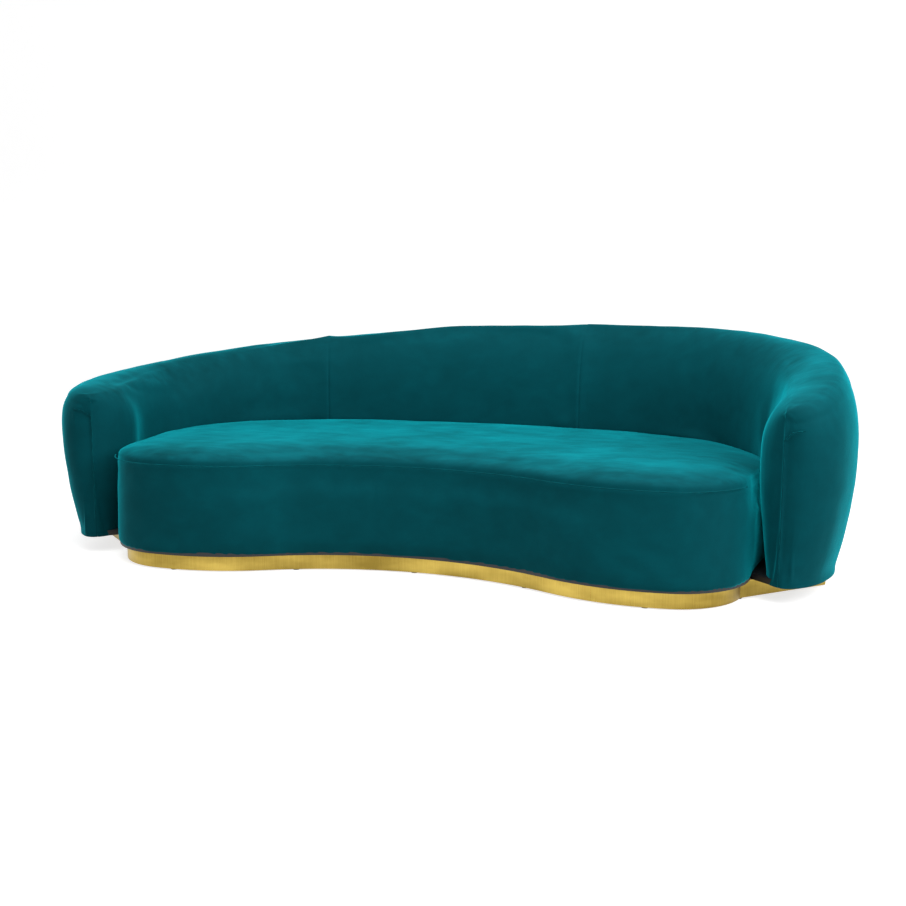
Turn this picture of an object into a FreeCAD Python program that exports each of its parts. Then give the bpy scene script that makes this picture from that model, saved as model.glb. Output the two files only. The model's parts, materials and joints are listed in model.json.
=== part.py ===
import FreeCAD, Part
import math
import os
from FreeCAD import Vector

doc = FreeCAD.newDocument("curved_sofa")

# Driving sizes, millimetres
SIZES = [
    ("overall_length", 2678, "outside to outside across both arms"),
    ("overall_depth", 1256, "front of the seat lobes to the outside of the back"),
    ("bend_line_y", 447.5, "where the back curve turns into the arm curve"),
    ("arm_curve_depth", 722, "half axis of the arm curve towards the front"),
    ("back_squareness", 2.13, "2 is an ellipse, more is squarer"),
    ("nose_y", 160, "tip of the arms behind the front of the lobes"),
    ("half_inner_back", 85, "back thickness from its middle line to the seat side"),
    ("half_inner_arm", 150, "arm thickness from its middle line to the seat side"),
    ("half_outer", 114, "thickness from the middle line to the outside"),
    ("inner_taper", 51, "how far the seat side draws in towards the base"),
    ("outer_taper", 55, "how far the outside draws in towards the base"),
    ("crest_shift", 20, "crest of the back lies outside the middle line"),
    ("nose_length", 160, "length over which an arm closes to its tip"),
    ("nose_drop", 30, "how much the crest falls to the tip"),
    ("widest_height", 420, "height at which the back and arms are fullest"),
    ("crest_left_tip", 561, "crest heights from the left tip to the right tip"),
    ("crest_left_arm", 605, ""),
    ("crest_left_turn", 668, ""),
    ("crest_left_back", 714, ""),
    ("crest_middle", 746, ""),
    ("crest_right_back", 757, ""),
    ("crest_right_turn", 755, ""),
    ("crest_right_arm", 707, ""),
    ("crest_right_tip", 592, ""),
    ("lobe_x", 759, "middle of each front lobe"),
    ("lobe_radius", 670, ""),
    ("bay_depth", 183, "hollow between the lobes"),
    ("corner_radius", 242, "front corners of the seat"),
    ("corner_turn", 70, "where the lobe arc passes into the corner arc"),
    ("seat_height", 375, "edge of the seat"),
    ("seat_crown", 15, "middle of the seat above its edge"),
    ("seat_edge_round", 28, "rounding of the top front edge"),
    ("seam_thickness", 4, "cord in the seat edge seam"),
    ("base_height", 55, "underside of the velvet above the floor"),
    ("glide_height", 4, ""),
    ("glide_radius", 12, ""),
    ("plinth_inset", 26, "plinth behind the velvet"),
    ("plinth_reach", 0.84, "part of each arm's length that stands on the plinth"),
    ("skirt_thickness", 1.2, "metal band"),
    ("plinth_wall", 30, "wooden wall behind the band"),
    ("board_thickness", 18, "plywood"),
    ("rail_thickness", 20, "seat rails"),
    ("rail_top", 300, "top of the seat rails"),
    ("cloth", 2, "velvet with its backing"),
    ("wadding", 10, ""),
    ("back_foam_depth", 40, "cloth face to inner skin"),
    ("outer_pad_depth", 12, "cloth face to outer skin"),
    ("crest_foam_depth", 35, ""),
    ("inner_skin", 5, ""),
    ("outer_skin", 4, ""),
    ("rail_drop", 68, "top rail below the crest"),
    ("top_rail_height", 27, ""),
    ("wire_radius", 1.9, "zigzag spring wire"),
    ("spring_spacing", 150, ""),
    ("spring_half_width", 26, ""),
    ("spring_pitch", 25, "distance between the bars of a spring"),
    ("felt", 3, "sheet over the springs"),
    ("clearance", 4.0, "between the seat and the back"),
    ("ply_gap", 0.3, "between neighbouring layers of upholstery"),
    ("cover_gap", 2.0, "between the back covers and their padding"),
    ("left_seam_x", -605, "seam in the inside back"),
    ("right_seam_x", 368, "seam in the inside back"),
]
sheet = doc.addObject("Spreadsheet::Sheet", "Sizes")
for row, (alias, value, note) in enumerate(SIZES, start=1):
    sheet.set("A%d" % row, alias)
    sheet.set("B%d" % row, str(value))
    sheet.set("C%d" % row, note)
    sheet.setAlias("B%d" % row, alias)
doc.recompute()


def mm(alias):
    return float(sheet.get(alias))


def bound(obj, prop, expression):
    """Bind a property to the sheet; names between @ signs are sheet sizes."""
    parts = expression.split("@")
    text = "".join("Sizes." + p if i % 2 else p for i, p in enumerate(parts))
    obj.setExpression(prop, text)


HALF_DEPTH = mm("overall_depth") / 2.0
BASE = mm("base_height")
NODES = []


def at(x, y, z):
    """Plan point measured from the front of the lobes, moved to the part's own origin."""
    return Vector(x, y - HALF_DEPTH, z)


def blend(t):
    t = min(max(t, 0.0), 1.0)
    return t * t * (3 - 2 * t)


# middle line of back and arms
def middle_line_points():
    a = mm("overall_length") / 2.0 - mm("half_outer")
    yc = mm("bend_line_y")
    b = mm("overall_depth") - mm("half_outer") - yc
    bf = mm("arm_curve_depth")
    power = 2.0 / mm("back_squareness")
    points = []
    steps = 360
    for i in range(steps + 1):
        angle = math.pi / 2 * (1 - (i / steps))
        c = max(math.cos(angle), 0.0)
        s = max(math.sin(angle), 0.0)
        points.append((a * c ** power, yc + b * s ** power))
    steps = 90
    for i in range(1, steps + 1):
        y = yc - (yc - mm("nose_y")) * i / steps
        points.append((a * math.sqrt(1 - ((yc - y) / bf) ** 2), y))
    return points


LINE = middle_line_points()
REACH = [0.0]
for (x0, y0), (x1, y1) in zip(LINE, LINE[1:]):
    REACH.append(REACH[-1] + math.hypot(x1 - x0, y1 - y0))
LENGTH = REACH[-1]


def on_line(distance):
    """Point and outward normal on the right half of the middle line."""
    distance = min(max(distance, 0.0), LENGTH)
    low, high = 0, len(REACH) - 1
    while high - low > 1:
        mid = (low + high) // 2
        if REACH[mid] <= distance:
            low = mid
        else:
            high = mid
    f = (distance - REACH[low]) / (REACH[high] - REACH[low])
    x = LINE[low][0] + f * (LINE[high][0] - LINE[low][0])
    y = LINE[low][1] + f * (LINE[high][1] - LINE[low][1])
    i0 = max(low - 3, 0)
    i1 = min(high + 3, len(LINE) - 1)
    tx = LINE[i1][0] - LINE[i0][0]
    ty = LINE[i1][1] - LINE[i0][1]
    if low < 3:
        tx, ty = 1.0, ty * low / 3.0 / max(tx, 1e-9)
    n = math.hypot(tx, ty)
    return x, y, -ty / n, tx / n


CRESTS = [mm("crest_" + k) for k in (
    "left_tip", "left_arm", "left_turn", "left_back", "middle",
    "right_back", "right_turn", "right_arm", "right_tip")]


def crest(s):
    """Crest height at s = -1 (left tip) .. 1 (right tip), a smooth curve through the sheet heights."""
    place = (s + 1) * 4
    i = min(int(place), 7)
    u = place - i
    slopes = []
    for j in (i, i + 1):
        if j == 0 or j == 8:
            slopes.append(CRESTS[min(j + 1, 8)] - CRESTS[max(j - 1, 0)])
        else:
            slopes.append((CRESTS[j + 1] - CRESTS[j - 1]) / 2.0)
    p0, p1 = CRESTS[i], CRESTS[i + 1]
    return ((2 * u ** 3 - 3 * u ** 2 + 1) * p0 + (u ** 3 - 2 * u ** 2 + u) * slopes[0]
            + (3 * u ** 2 - 2 * u ** 3) * p1 + (u ** 3 - u ** 2) * slopes[1])


ROUND = 2.3


class Station:
    """One upright cross-section of the back, at s = -1..1 along the middle line.

    pads are the insets of the seat side, the outside, the crest and the tip;
    skin is a thickness taken off in the plane of the section.
    """

    def __init__(self, s, pads=(0, 0, 0, 0), skin=0.0):
        inner, outer, top, tip = pads
        self.s = s
        reach = LENGTH - tip
        distance = min(abs(s) * LENGTH, reach)
        self.x, self.y, self.nx, self.ny = on_line(distance)
        if s < 0:
            self.x, self.nx = -self.x, -self.nx
        nose = mm("nose_length")
        u = max((distance - (reach - nose)) / nose, 0.0)
        self.full = max((1 - min(u, 1.0) ** 2.2) ** (1 / 2.2), 0.06)
        grow = blend((abs(s) - 0.45) / 0.35)
        w_in = mm("half_inner_back") + grow * (mm("half_inner_arm") - mm("half_inner_back"))
        thin = skin / self.full
        self.w = {-1: w_in - inner - thin, 1: mm("half_outer") - outer - thin}
        self.taper = {-1: mm("inner_taper"), 1: mm("outer_taper")}
        self.top = crest(s) - top - skin - (1 - self.full) * mm("nose_drop")

    def across(self, side, z):
        """Distance from the middle line to one face at a height; side -1 faces the seat."""
        zw = mm("widest_height")
        w = self.w[side]
        if z <= zw:
            a = max((z - BASE) / (zw - BASE), 0.0)
            foot = w - self.taper[side]
            value = foot + self.taper[side] * math.sin(a * math.pi / 2) ** 0.9
        else:
            r = min((z - zw) / (self.top - zw), 1.0)
            shift = mm("crest_shift") * side
            value = shift + (w - shift) * (1 - r ** ROUND) ** (1 / ROUND)
        return side * value * self.full

    def point(self, u, z):
        return at(self.x + u * self.nx, self.y + u * self.ny, z)

    def crown_height(self, degrees):
        zw = mm("widest_height")
        return zw + (self.top - zw) * math.sin(math.radians(degrees)) ** (2 / ROUND)

    def arc(self, side, z0, z1, z_mid=None):
        """Face of the section between two heights, as an arc through three of its points."""
        zm = (z0 + z1) / 2.0 if z_mid is None else z_mid
        pts = [self.point(self.across(side, z), z) for z in (z0, zm, z1)]
        return Part.Arc(pts[0], pts[1], pts[2]).toShape()


def line(p, q):
    return Part.makeLine(p, q)


def form_wire(s, pads, floor):
    """Closed outline of the padded back at one station."""
    st = Station(s, pads)
    zw = mm("widest_height")
    z1, z2, z3 = [st.crown_height(d) for d in (27, 54, 74)]
    low = (BASE + zw) / 2.0
    edges = []
    foot = [st.point(st.across(side, BASE), floor) for side in (-1, 1)]
    edges.append(line(foot[0], foot[1]))
    if floor < BASE - 0.01:
        edges.append(line(foot[1], st.point(st.across(1, BASE), BASE)))
    edges.append(st.arc(1, BASE, zw, low))
    edges.append(st.arc(1, zw, z2, z1))
    edges.append(st.arc(1, z2, st.top, z3))
    edges.append(st.arc(-1, st.top, z2, z3))
    edges.append(st.arc(-1, z2, zw, z1))
    edges.append(st.arc(-1, zw, BASE, low))
    if floor < BASE - 0.01:
        edges.append(line(st.point(st.across(-1, BASE), BASE), foot[0]))
    return Part.Wire(edges)


def tip_wire(s, skin):
    """Closed outline of the section inside a given thickness, down to the base."""
    st = Station(s, skin=skin)
    zw = mm("widest_height")
    z1, z2, z3 = [st.crown_height(d) for d in (27, 54, 74)]
    low = (BASE + zw) / 2.0
    edges = [line(st.point(st.across(-1, BASE), BASE), st.point(st.across(1, BASE), BASE)),
             st.arc(1, BASE, zw, low), st.arc(1, zw, z2, z1), st.arc(1, z2, st.top, z3),
             st.arc(-1, st.top, z2, z3), st.arc(-1, z2, zw, z1), st.arc(-1, zw, BASE, low)]
    return Part.Wire(edges)


def stations(tip=0.0, half=(0.0, 0.14, 0.28, 0.42, 0.54, 0.65, 0.75)):
    """Station positions from tip to tip, closer together where the arms close."""
    end = (LENGTH - tip) / LENGTH
    start = (LENGTH - tip - mm("nose_length")) / LENGTH
    right = [h for h in half if h < start - 0.03]
    right += [start + (end - start) * u for u in (0.0, 0.42, 0.68, 0.85, 0.94, 0.985, 1.0)]
    return [-s for s in reversed(right[1:])] + right


def padded_form(pads, floor):
    wires = [form_wire(s, pads, floor) for s in stations(pads[3])]
    return Part.makeLoft(wires, True, False)


# document helpers
def feature(label, shape):
    obj = doc.addObject("Part::Feature", label)
    obj.Shape = shape
    obj.Label = label
    return obj


def node(obj, label):
    obj.Label = label
    NODES.append(obj)
    return obj


def combine(kind, label, base, tool):
    obj = doc.addObject("Part::" + kind, label)
    obj.Base = base
    obj.Tool = tool
    obj.Label = label
    return obj


def extruded(label, wire, length, start=None):
    """Upright extrusion of a flat outline, its height bound to the sheet."""
    flat = feature(label + "_outline", Part.Face(wire))
    obj = doc.addObject("Part::Extrusion", label)
    obj.Base = flat
    obj.DirMode = "Custom"
    obj.Dir = Vector(0, 0, 1)
    obj.Solid = True
    bound(obj, "LengthFwd", length)
    if start:
        bound(obj, "Placement.Base.z", start)
    obj.Label = label
    return obj


def ring(label, outer, inner, length, start):
    a = extruded(label + "_outside", outer, length, start)
    b = extruded(label + "_opening", inner, length, start)
    return combine("Cut", label, a, b)


def solids_of(shape):
    return [s for s in shape.Solids if s.Volume > 50]


def turned(label, outline):
    """Body made by turning a half outline (radius, height) about its own axis."""
    body = doc.addObject("PartDesign::Body", label)
    plane = [f for f in body.Origin.OriginFeatures if f.Role == "XZ_Plane"][0]
    sketch = body.newObject("Sketcher::SketchObject", label + "_sketch")
    sketch.AttachmentSupport = (plane, [""])
    sketch.MapMode = "FlatFace"
    corners = [Vector(r, h, 0) for r, h in outline]
    for p, q in zip(corners, corners[1:] + corners[:1]):
        sketch.addGeometry(Part.LineSegment(p, q), False)
    doc.recompute()
    turn = body.newObject("PartDesign::Revolution", label + "_turn")
    turn.Profile = sketch
    turn.ReferenceAxis = (sketch, ["V_Axis"])
    turn.Angle = 360
    body.Tip = turn
    doc.recompute()
    return body


def copies(label, body, places):
    """Group of equal separate solids from one body, at (point, turn about z)."""
    shapes = []
    for place, angle in places:
        shape = body.Shape.copy()
        shape.Placement = FreeCAD.Placement(place, FreeCAD.Rotation(Vector(0, 0, 1), angle))
        shapes.append(shape)
    return node(feature(label, Part.makeCompound(shapes)), label)


# plan outlines
def front_arcs(inset, z, corner=0.0):
    """Front of the seat from the left corner to the right corner; corner is its last direction."""
    xl, r2, bay, r3 = mm("lobe_x"), mm("lobe_radius"), mm("bay_depth"), mm("corner_radius")
    r1 = (xl ** 2 + bay ** 2) / (2 * bay) - r2
    c1 = (0.0, bay - r1)
    c2 = (xl, r2)
    a1 = math.atan2(c2[1] - c1[1], c2[0] - c1[0])
    a3 = -math.pi / 2 + math.asin(mm("corner_turn") / r2)
    c3 = (c2[0] + (r2 - r3) * math.cos(a3), c2[1] + (r2 - r3) * math.sin(a3))

    def p(c, r, a, mirror):
        x = c[0] + r * math.cos(a)
        return at(-x if mirror else x, c[1] + r * math.sin(a), z)

    def arc(c, r, b0, b1, mirror=False):
        pts = [p(c, r, b, mirror) for b in (b0, (b0 + b1) / 2, b1)]
        return Part.Arc(pts[0], pts[1], pts[2]).toShape()

    r1, r2, r3 = r1 + inset, r2 - inset, r3 - inset
    end = math.radians(corner)
    edges = [arc(c3, r3, end, a3, True), arc(c2, r2, a3, a1 - math.pi, True),
             arc(c1, r1, math.pi - a1, a1),
             arc(c2, r2, a1 - math.pi, a3), arc(c3, r3, a3, end)]
    return edges


def curve(points):
    spline = Part.BSplineCurve()
    spline.interpolate(points)
    return spline.toShape()


def ends(edge):
    return edge.valueAt(edge.FirstParameter), edge.valueAt(edge.LastParameter)


def seat_back_points(inset, z):
    """Line on the seat side of back and arms, from the right arm round to the left."""
    points = []
    for s in reversed([-0.82] + [s for s in stations() if abs(s) < 0.8] + [0.82]):
        st = Station(s)
        face = st.across(-1, mm("seat_height") - mm("seat_edge_round"))
        points.append(st.point(face - inset - mm("clearance"), z))
    return points


def seat_wire(inset, z):
    front = front_arcs(inset, z)
    back = curve(seat_back_points(inset, z))
    f0, f1 = ends(front[0])[0], ends(front[-1])[1]
    b0, b1 = ends(back)
    return Part.Wire(front + [line(f1, b0), back, line(b1, f0)])


def foot_points(inset, z, reach=1.0):
    """Outside of the foot of back and arms from the right tip round to the left tip, or part of it."""
    pads = (0, inset, 0, inset)
    points = []
    for s in reversed(sorted({max(min(s, reach), -reach) for s in stations(inset)})):
        st = Station(s, pads)
        points.append(st.point(max(st.w[1] - st.taper[1], 1.0) * st.full, z))
    return points


def plan_wire(inset, z, corner=-10.0, reach=None):
    """Outline of the base: seat front, across under the arms and round along the back."""
    front = front_arcs(inset, z, corner)
    back = curve(foot_points(inset, z, reach or mm("plinth_reach")))
    f0, f1 = ends(front[0])[0], ends(front[-1])[1]
    b0, b1 = ends(back)
    return Part.Wire(front + [line(f1, b0), back, line(b1, f0)])


def crossing(wire, x):
    """Front and back y where an outline crosses a plane of constant x."""
    box = wire.BoundBox
    probe = Part.makeLine(Vector(x, box.YMin - 10, box.ZMin), Vector(x, box.YMax + 10, box.ZMin))
    found = wire.distToShape(probe)[1]
    ys = sorted(pair[0].y for pair in found)
    return ys[0], ys[-1]


def block(x0, y0, z0, x1, y1, z1):
    return Part.makeBox(x1 - x0, y1 - y0, z1 - z0, Vector(x0, y0, z0))


def flat_solid(wire, height):
    return Part.Face(wire).extrude(Vector(0, 0, height))


BOARD = mm("board_thickness")
RAIL = mm("rail_thickness")
CLOTH = mm("cloth")
WIDE = 3000

# Plinth: metal band, wooden wall, cross boards, glides
PLINTH = mm("plinth_inset")
GLIDE = mm("glide_height")
INSIDE_BAND = PLINTH + mm("skirt_thickness")
INSIDE_WALL = INSIDE_BAND + mm("plinth_wall")

node(ring("plinth_skirt", plan_wire(PLINTH, 0), plan_wire(INSIDE_BAND, 0),
          "@base_height@ - @glide_height@", "@glide_height@"), "plinth_skirt")
wall_blank = ring("wall_blank", plan_wire(INSIDE_BAND + 0.2, 0), plan_wire(INSIDE_WALL, 0),
                  "@base_height@ - @glide_height@", "@glide_height@")

boards = []
for x in (-780, -400, 0, 400, 780):
    boards.append(block(x - BOARD / 2, -700, GLIDE, x + BOARD / 2, 700, BASE - 1))
inside = flat_solid(plan_wire(INSIDE_WALL + 0.3, GLIDE), BASE)
boards = feature("cross_board_blanks", Part.makeCompound(boards))
node(combine("Common", "plinth_cross_boards", boards, feature("plinth_inside", inside)),
     "plinth_cross_boards")

wall_middle = (INSIDE_BAND + INSIDE_WALL) / 2
mid_wall = plan_wire(wall_middle, 0)
glide_places = []
for x in (-1010, -760, -380, 0, 380, 760, 1010):
    front, back = crossing(mid_wall, x)
    glide_places += [Vector(x, front, 0), Vector(x, back, 0)]
glide = turned("glide", [(2.5, 0), (mm("glide_radius") - 1.5, 0), (mm("glide_radius"), 1.5),
                         (mm("glide_radius"), GLIDE), (2.5, GLIDE)])
copies("floor_glides", glide, [(p, 0) for p in glide_places])
screw = turned("glide_screw", [(0, 1.2), (2.4, 1.2), (2.4, GLIDE), (1.8, GLIDE + 2),
                               (1.8, GLIDE + 20), (0, GLIDE + 23)])
copies("glide_screws", screw, [(p, 0) for p in glide_places])

# Base ring that carries seat, back and arms
RING_TOP = BASE + BOARD
base_outer = extruded("base_ring_outside", plan_wire(4, 0, 0.0, 1.0), "@board_thickness@", "@base_height@")
base_hole = extruded("base_ring_opening", seat_wire(115, 0), "@board_thickness@", "@base_height@")
base_ring = combine("Cut", "base_ring_blank", base_outer, base_hole)

bolt_places = []
for x in (-930, -580, -190, 190, 580, 930):
    front, back = crossing(mid_wall, x)
    bolt_places += [Vector(x, front, 0), Vector(x, back, 0)]
BOLT = 4.0
bolt = turned("plinth_bolt", [(0, GLIDE + 6), (7, GLIDE + 6), (7, GLIDE + 10), (BOLT, GLIDE + 10),
                              (BOLT, RING_TOP), (0, RING_TOP)])
washer = turned("plinth_washer", [(BOLT, GLIDE + 10), (10, GLIDE + 10), (10, GLIDE + 11.6),
                                  (BOLT, GLIDE + 11.6)])
bolt_group = copies("plinth_bolts", bolt, [(p, 0) for p in bolt_places])
washer_group = copies("plinth_washers", washer, [(p, 0) for p in bolt_places])
bore = turned("bolt_bore", [(0, 0), (11, 0), (11, GLIDE + 11.6), (BOLT, GLIDE + 11.6),
                            (BOLT, RING_TOP + 5), (0, RING_TOP + 5)])
bores = feature("bolt_bores", Part.makeCompound(
    [bore.Shape.translated(p) for p in bolt_places]))
pilots = feature("glide_pilots", Part.makeCompound(
    [screw.Shape.translated(p) for p in glide_places]))
wall = combine("Cut", "wall_bored", wall_blank, bores)
node(combine("Cut", "wall_drilled", wall, pilots), "plinth_wall_frame")


# Seat frame
def seat_rail(label, wire_outer, wire_inner, keep):
    whole = flat_solid(wire_outer, mm("rail_top") - RING_TOP)
    hollow = flat_solid(wire_inner, mm("rail_top") - RING_TOP)
    return feature(label, whole.cut(hollow).common(keep))


GAP = mm("ply_gap")
RAIL_IN = CLOTH + mm("wadding") + GAP
rail_outer = seat_wire(RAIL_IN, RING_TOP)
rail_inner = seat_wire(RAIL_IN + RAIL, RING_TOP)
corner_y = front_arcs(RAIL_IN, 0)[-1].valueAt(front_arcs(RAIL_IN, 0)[-1].LastParameter).y
turn_y = corner_y + 260
LOW, HIGH = RING_TOP, mm("rail_top")
front_zone = block(-WIDE, -WIDE, LOW, WIDE, corner_y, HIGH)
end_zone = block(0, corner_y, LOW, WIDE, turn_y, HIGH)
end_zone_left = block(-WIDE, corner_y, LOW, 0, turn_y, HIGH)
back_zone = block(-WIDE, turn_y, LOW, WIDE, WIDE, HIGH)
node(seat_rail("seat_front_rail", rail_outer, rail_inner, front_zone), "seat_front_rail")
node(seat_rail("seat_end_rail_right", rail_outer, rail_inner, end_zone), "seat_end_rail_right")
node(seat_rail("seat_end_rail_left", rail_outer, rail_inner, end_zone_left), "seat_end_rail_left")
node(seat_rail("seat_back_rail", rail_outer, rail_inner, back_zone), "seat_back_rail")

cross_solids = []
seat_inside = flat_solid(seat_wire(RAIL_IN + RAIL + 0.3, RING_TOP), HIGH - 45 - RING_TOP)
for x in (-640, -215, 215, 640):
    cross_solids += block(x - RAIL / 2, -700, RING_TOP, x + RAIL / 2, 700,
                          HIGH - 45).common(seat_inside).Solids
cross = feature("seat_cross_blanks", Part.makeCompound(cross_solids))
base_span = []
for x in (-640, -215, 215, 640):
    base_span += block(x - 40, -700, BASE, x + 40, 700, RING_TOP).common(
        flat_solid(seat_wire(115.3, BASE), BOARD)).Solids
node(cross, "seat_cross_rails")
node(feature("base_cross_boards", Part.makeCompound(base_span)), "base_cross_boards")

# Corner blocks: a sketched triangle, padded and chamfered, one on each side of every cross rail
block_body = doc.addObject("PartDesign::Body", "corner_block")
plane = [f for f in block_body.Origin.OriginFeatures if f.Role == "XY_Plane"][0]
outline = block_body.newObject("Sketcher::SketchObject", "corner_block_sketch")
outline.AttachmentSupport = (plane, [""])
outline.MapMode = "FlatFace"
LEG = 45
for p, q in (((0, 0), (LEG, 0)), ((LEG, 0), (0, LEG)), ((0, LEG), (0, 0))):
    outline.addGeometry(Part.LineSegment(Vector(p[0], p[1], 0), Vector(q[0], q[1], 0)), False)
doc.recompute()
pad = block_body.newObject("PartDesign::Pad", "corner_block_pad")
pad.Profile = outline
pad.Length = 60
block_body.Tip = pad
doc.recompute()
block_solids = []
for x in (-640, -215, 215, 640):
    for side in (-1, 1):
        face_x = x + side * RAIL / 2
        front, back = crossing(rail_inner, face_x + side * 12)
        for y, angle in ((front - 14, 0 if side > 0 else 90), (back + 14, -90 if side > 0 else 180)):
            shape = block_body.Shape.copy()
            shape.Placement = FreeCAD.Placement(Vector(face_x, y, RING_TOP),
                                                FreeCAD.Rotation(Vector(0, 0, 1), angle))
            block_solids += shape.common(seat_inside).Solids
node(feature("corner_blocks", Part.makeCompound(solids_of(Part.makeCompound(block_solids)))),
     "corner_blocks")

# Zigzag springs from the front rail to the back rail, their clips and cross wires
WIRE = mm("wire_radius")
HALF = mm("spring_half_width")
PITCH = mm("spring_pitch")
SPRING_Z = HIGH + WIRE
rail_mid = seat_wire(RAIL_IN + RAIL / 2, 0)


def zigzag(x, y0, y1):
    """Wire path in a level plane: straight bars joined by half-round turns, taken as two arcs."""
    bars = int((y1 - y0) // PITCH) + 1
    step = (y1 - y0) / (bars - 1)
    r = step / 2.0
    reach = HALF - r
    path = []
    side = 1
    here = Vector(x - reach, y0, SPRING_Z)
    for i in range(bars):
        there = Vector(x + side * reach, y0 + i * step, SPRING_Z)
        path.append(line(here, there))
        if i < bars - 1:
            tip = Vector(there.x + side * r, there.y + r, SPRING_Z)
            out = Vector(there.x, there.y + step, SPRING_Z)
            q = r * math.sqrt(0.5)
            a = Vector(there.x + side * q, there.y + r - q, SPRING_Z)
            b = Vector(there.x + side * q, there.y + r + q, SPRING_Z)
            path.append(Part.Arc(there, a, tip).toShape())
            path.append(Part.Arc(tip, b, out).toShape())
            here = out
            side = -side
    wire = Part.Wire(path)
    circle = Part.makeCircle(WIRE, Vector(x - reach, y0, SPRING_Z), Vector(1, 0, 0))
    return wire.makePipeShell([Part.Wire([circle])], True, False)


spring_xs = []
count = int((mm("lobe_x") + 120) // mm("spring_spacing"))
for i in range(-count, count + 1):
    spring_xs.append(i * mm("spring_spacing"))
spring_solids, clip_solids = [], []
tie_ys = (-60, 160)
for x in spring_xs:
    front, back = crossing(rail_mid, x)
    spring_solids.append(zigzag(x, front, back))
    for y in (front, back):
        # each clip saddles the end bar on top of its rail
        outer = block(x - 9, y - 5, HIGH, x + 9, y + 5, HIGH + 2 * WIRE + 1.2)
        bar = Part.makeCylinder(WIRE, 60, Vector(x - 30, y, SPRING_Z), Vector(1, 0, 0))
        slot = block(x - 30, y - WIRE, HIGH - 5, x + 30, y + WIRE, SPRING_Z)
        clip_solids += outer.cut(slot).cut(bar).Solids
node(feature("zigzag_springs", Part.makeCompound(spring_solids)), "zigzag_springs")
node(feature("spring_clips", Part.makeCompound(clip_solids)), "spring_clips")
ties = []
for y in tie_ys:
    ties.append(Part.makeCylinder(1.2, 2 * (spring_xs[-1] + HALF),
                                  Vector(-spring_xs[-1] - HALF, y, HIGH - 1.2), Vector(1, 0, 0)))
node(feature("spring_cross_wires", Part.makeCompound(ties)), "spring_cross_wires")

# Seat upholstery
FELT_Z = HIGH + 2 * WIRE + 1.2
FOAM_Z = FELT_Z + mm("felt")
node(extruded("spring_felt", seat_wire(RAIL_IN, FELT_Z), "@felt@"), "spring_felt")


SHOULDER = mm("seat_height") - mm("seat_edge_round")


def seat_cap(inset):
    """Top of the seat: outlines that close in over a rounded edge and a low crown."""
    radius = mm("seat_edge_round") - inset
    levels = [(inset, SHOULDER)]
    for degrees in (25, 50, 72):
        turn = math.radians(degrees)
        levels.append((inset + radius * (1 - math.cos(turn)), SHOULDER + radius * math.sin(turn)))
    rim = SHOULDER + radius
    for part in (0.15, 0.5, 1.0):
        levels.append((inset + radius + 170 * part, rim + mm("seat_crown") * part * (2 - part)))
    return Part.makeLoft([seat_wire(d, z) for d, z in levels], True, False)


def seat_prism(inset, z0, z1):
    return flat_solid(seat_wire(inset, z0), z1 - z0)


def seat_layer(label, outer, inner, floor, top=SHOULDER):
    """Upright wall of one upholstery layer."""
    wall = feature(label + "_outer", seat_prism(outer, floor, top))
    hollow = feature(label + "_inner", seat_prism(inner, floor - 5, top + 5))
    return combine("Cut", label, wall, hollow)


cap_cloth = feature("seat_cap_cloth", seat_cap(0))
cap_under_cloth = feature("seat_cap_under_cloth", seat_cap(CLOTH))
node(combine("Cut", "seat_top_cover", cap_cloth, cap_under_cloth), "seat_top_cover")
ring_zone = extruded("base_ring_zone", plan_wire(4, 0, 0.0, 1.0), "@board_thickness@", "@base_height@")
band = seat_layer("seat_band", 0, CLOTH, BASE)
node(combine("Cut", "seat_front_cover", band, ring_zone), "seat_front_cover")
PAD_OUT, PAD_IN = CLOTH + GAP, RAIL_IN - GAP
cap_pad = feature("seat_cap_pad", seat_cap(PAD_OUT))
cap_pad_hollow = feature("seat_cap_pad_hollow", seat_cap(PAD_IN))
cap_wadding = combine("Cut", "seat_cap_wadding", cap_pad, cap_pad_hollow)
side_wadding = seat_layer("seat_side_wadding", PAD_OUT, PAD_IN, FOAM_Z)
node(combine("Fuse", "seat_wadding", cap_wadding, side_wadding), "seat_wadding")
node(seat_layer("seat_border_pad", PAD_OUT, PAD_IN, RING_TOP, FOAM_Z - 0.2), "seat_border_pad")
foam_cap = feature("seat_foam_cap", seat_cap(RAIL_IN))
foam_body = feature("seat_foam_body", seat_prism(RAIL_IN, FOAM_Z, SHOULDER))
node(combine("Fuse", "seat_foam", foam_cap, foam_body), "seat_foam")

SEAM_PROUD = 1.4
seam_face = front_arcs(-0.15, 0)
seam_back = [edge.reversed() for edge in reversed(front_arcs(-0.15 - SEAM_PROUD, 0))]
seam_turns = [line(ends(seam_face[-1])[1], ends(front_arcs(-0.15 - SEAM_PROUD, 0)[-1])[1]),
              line(ends(front_arcs(-0.15 - SEAM_PROUD, 0)[0])[0], ends(seam_face[0])[0])]
seam_wire = Part.Wire(seam_face + [seam_turns[0]] + seam_back + [seam_turns[1]])
node(extruded("seat_edge_seam", seam_wire, "@seam_thickness@",
              "@seat_height@ - @seat_edge_round@ - @seam_thickness@ / 2"), "seat_edge_seam")

# Back and arms: cloth, padding, skins, ribs and rails
IN, OUT, TOP = mm("back_foam_depth"), mm("outer_pad_depth"), mm("crest_foam_depth")
SKIN_IN, SKIN_OUT = mm("inner_skin"), mm("outer_skin")
TIP = 30
UNDER = BASE - 40
SILL_TOP = RING_TOP + BOARD
padding_inset = CLOTH + mm("cover_gap")


def all_round(inset):
    return (inset, inset, inset, inset)


def core_pads(extra_in, extra_out, extra_top=0.0):
    return (IN + extra_in, OUT + extra_out, TOP + extra_top, TIP)


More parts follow.
